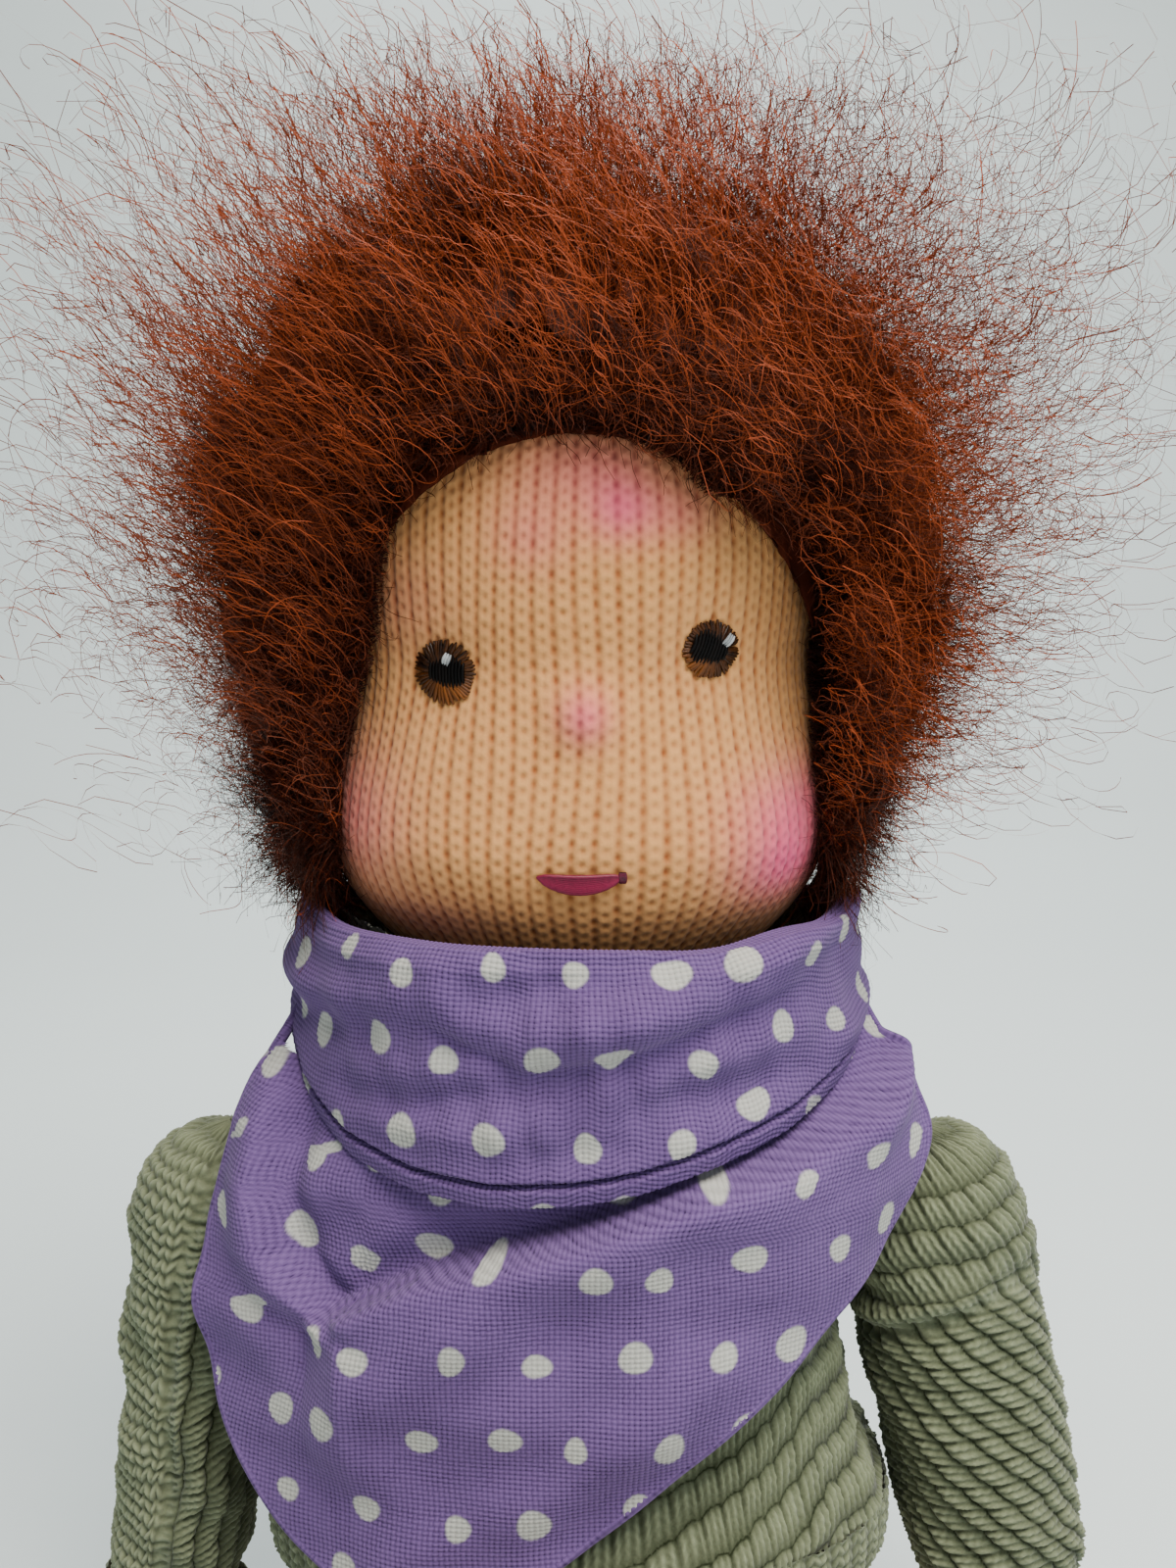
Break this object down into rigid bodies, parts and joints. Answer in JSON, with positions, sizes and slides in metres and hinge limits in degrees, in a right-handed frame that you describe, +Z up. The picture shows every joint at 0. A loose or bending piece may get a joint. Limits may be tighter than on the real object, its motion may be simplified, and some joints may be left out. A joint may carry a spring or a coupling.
{
  "type": "soft doll",
  "caption": "Soft stuffed rag doll with knitted top, neckerchief and brushed mohair wig, sitting; head, arms and legs turn at their sewn joints",
  "frame": {"origin": "on the flat of the seat, between the tops of the legs", "axes": "+Z up through the head, -Y the way the doll faces, +X to the right as the doll is seen from in front, which is the side its node names call right"},
  "size_m": [0.0917, 0.1292, 0.144],
  "materials": {
    "skin": "stretched skin-coloured jersey, brushed cotton, fine ribs",
    "fleece": "washed sheep's wool stuffing, off-white",
    "thread": "doubled linen thread",
    "iris": "satin stitch in brown silk, golden streaks",
    "pupil": "satin stitch in black cotton",
    "highlight": "white cotton stitches",
    "mouth": "satin stitch in magenta cotton",
    "hair": "brushed mohair yarn, chestnut brown, frizzy",
    "top": "waffle knit in sage green wool",
    "kerchief": "loose plain weave in lavender, off-white dots",
    "trousers": "plain linen weave, grey-brown",
    "button": "moulded shirt button, cream, satin"
  },
  "bodies": {
    "torso": {"torso_stuffing": "fleece", "torso_skin": "skin", "trouser_seat": "trousers", "waistband": "trousers", "hem_band": "top", "sweater_body": "top", "neckband": "top", "back_placket": "top", "back_button_1": "button", "back_button_2": "button", "back_button_3": "button", "neckerchief_collar": "kerchief", "neckerchief_drape": "kerchief", "neckerchief_knot": "kerchief", "left_tail": "kerchief", "right_tail": "kerchief"},
    "neck": {"neck_tie": "thread"},
    "head": {"head_core": "fleece", "eye_line_tie": "thread", "crown_tie": "thread", "head_skin": "skin", "left_iris": "iris", "right_iris": "iris", "left_pupil": "pupil", "right_pupil": "pupil", "left_highlight": "highlight", "right_highlight": "highlight", "mouth": "mouth", "wig_cap": "hair", "hair": "hair"},
    "left_shoulder": {"left_shoulder_stitch": "thread"},
    "left_arm": {"left_arm_stuffing": "fleece", "left_arm_skin": "skin", "left_wrist_thread": "thread", "left_sleeve": "top", "left_cuff": "top"},
    "left_leg": {"left_leg_stuffing": "fleece", "left_leg_skin": "skin", "left_ankle_thread": "thread", "left_trouser_leg": "trousers", "left_ankle_cuff": "trousers"},
    "right_shoulder": {"right_shoulder_stitch": "thread"},
    "right_arm": {"right_arm_stuffing": "fleece", "right_arm_skin": "skin", "right_wrist_thread": "thread", "right_sleeve": "top", "right_cuff": "top"},
    "right_leg": {"right_leg_stuffing": "fleece", "right_leg_skin": "skin", "right_ankle_thread": "thread", "right_trouser_leg": "trousers", "right_ankle_cuff": "trousers"}
  },
  "joints": [
    {"name": "head_turn", "type": "hinge", "parent": "torso", "child": "neck", "pos_m": [0, 0, 0.0732], "axis": [0, 0, 1], "range_deg": [-30, 30], "stiffness_Nm_per_rad": 0.004},
    {"name": "head_nod", "type": "hinge", "parent": "neck", "child": "head", "pos_m": [0, 0, 0.0732], "axis": [1, 0, 0], "range_deg": [-7, 6], "stiffness_Nm_per_rad": 0.06},
    {"name": "left_arm_swing", "type": "hinge", "parent": "torso", "child": "left_shoulder", "pos_m": [-0.0316, 0, 0.054], "axis": [-1, 0, 0], "range_deg": [-30, 90], "deforming": ["neckerchief_drape"]},
    {"name": "left_arm_lift", "type": "hinge", "parent": "left_shoulder", "child": "left_arm", "pos_m": [-0.0316, 0, 0.054], "axis": [0, 1, 0], "range_deg": [0, 70]},
    {"name": "right_arm_swing", "type": "hinge", "parent": "torso", "child": "right_shoulder", "pos_m": [0.0316, 0, 0.054], "axis": [-1, 0, 0], "range_deg": [-30, 90], "deforming": ["neckerchief_drape"]},
    {"name": "right_arm_lift", "type": "hinge", "parent": "right_shoulder", "child": "right_arm", "pos_m": [0.0316, 0, 0.054], "axis": [0, -1, 0], "range_deg": [0, 70]},
    {"name": "left_hip", "type": "hinge", "parent": "torso", "child": "left_leg", "pos_m": [-0.0137, -0.014, 0.012], "axis": [1, 0, 0], "range_deg": [0, 90]},
    {"name": "right_hip", "type": "hinge", "parent": "torso", "child": "right_leg", "pos_m": [0.0137, -0.014, 0.012], "axis": [1, 0, 0], "range_deg": [0, 90]}
  ]
}
